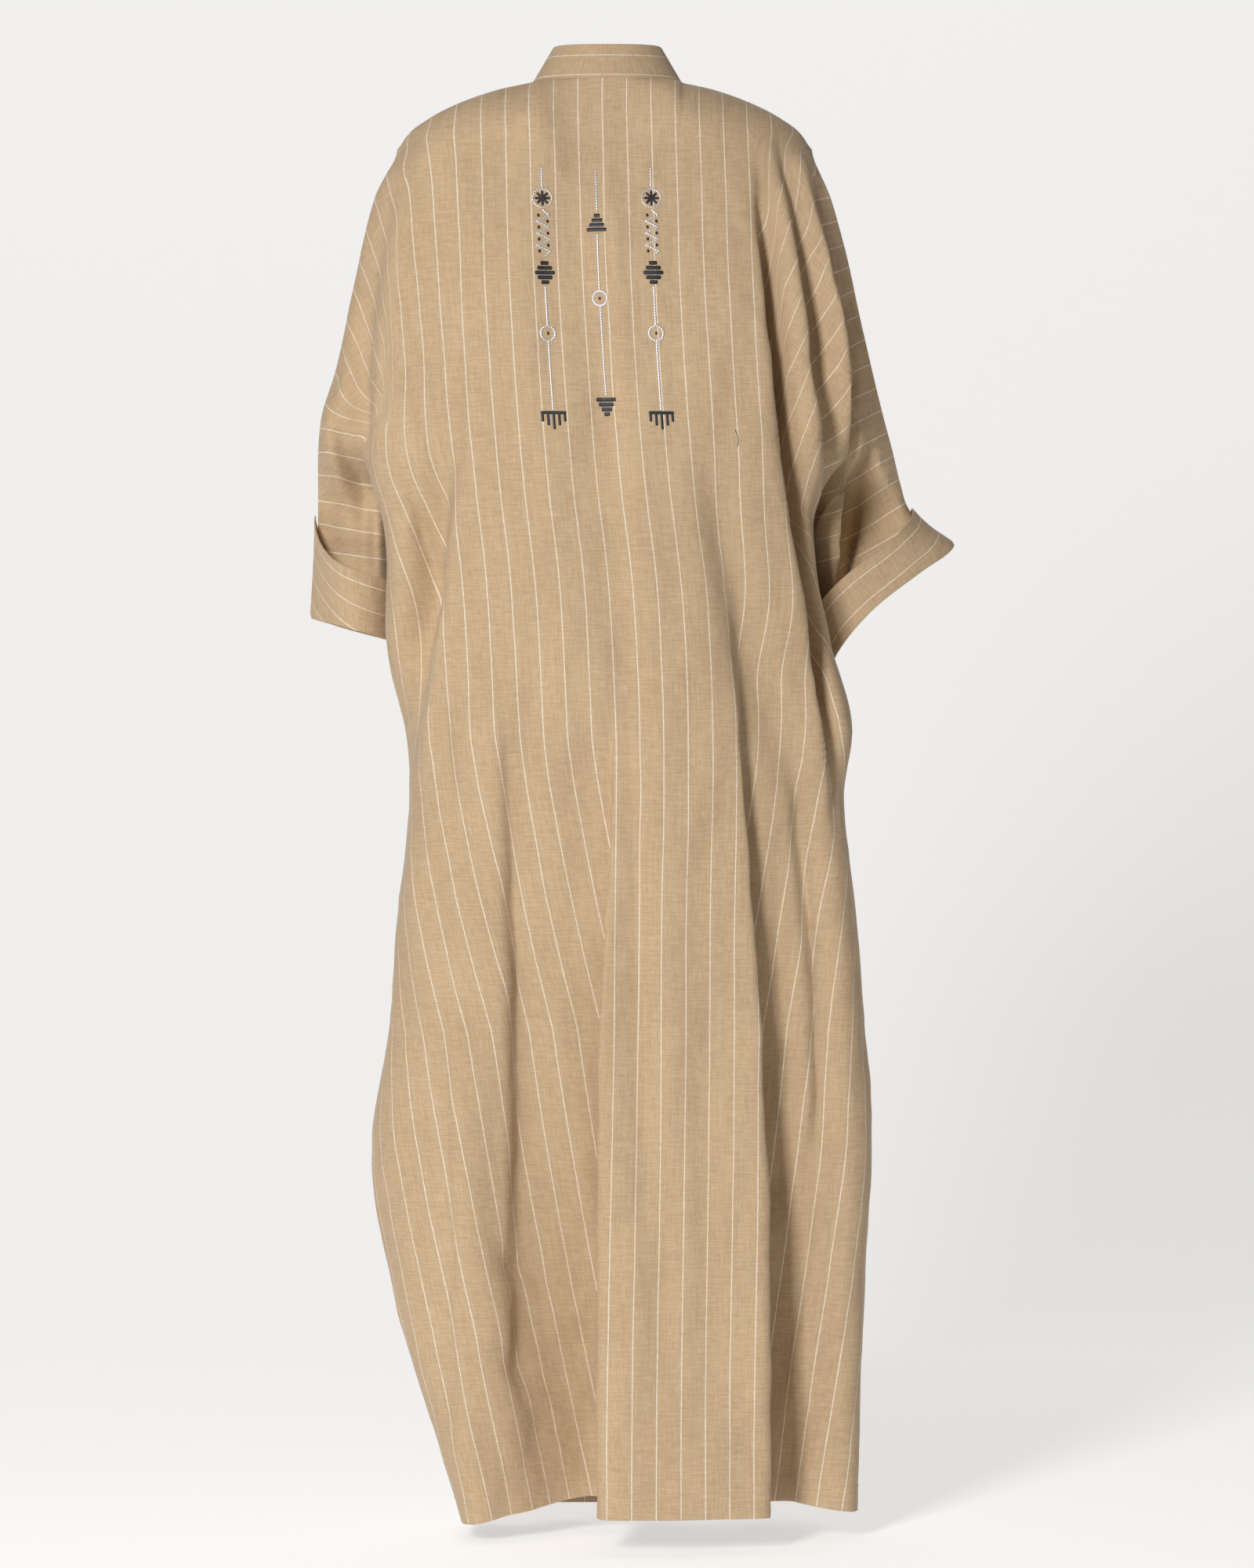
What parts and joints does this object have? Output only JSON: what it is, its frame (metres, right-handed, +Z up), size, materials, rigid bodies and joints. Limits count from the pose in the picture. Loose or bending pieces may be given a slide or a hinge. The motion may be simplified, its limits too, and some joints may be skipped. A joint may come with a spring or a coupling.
{
  "type": "open kaftan",
  "caption": "Floor-length open striped kaftan of bisht cut, worn form, deep turned-back cuffs and a narrow neck band running down the front edges.",
  "frame": {"origin": "middle of the neck opening, level with the neck seam at the centre back", "axes": "+Z up, +Y towards the back of the garment, +X towards the wearer's left; the open front faces -Y"},
  "size_m": [0.6621, 0.2805, 1.5006],
  "materials": {
    "cloth": "matt plain-woven linen with pale pinstripes down its length",
    "trim_cloth": "the same linen with its pinstripes along the band and round the cuffs"
  },
  "bodies": {
    "root": {"back": "cloth", "front_left": "cloth", "front_right": "cloth", "band_left": "trim_cloth", "band_right": "trim_cloth", "cuff_left": "trim_cloth", "cuff_right": "trim_cloth"}
  },
  "joints": []
}
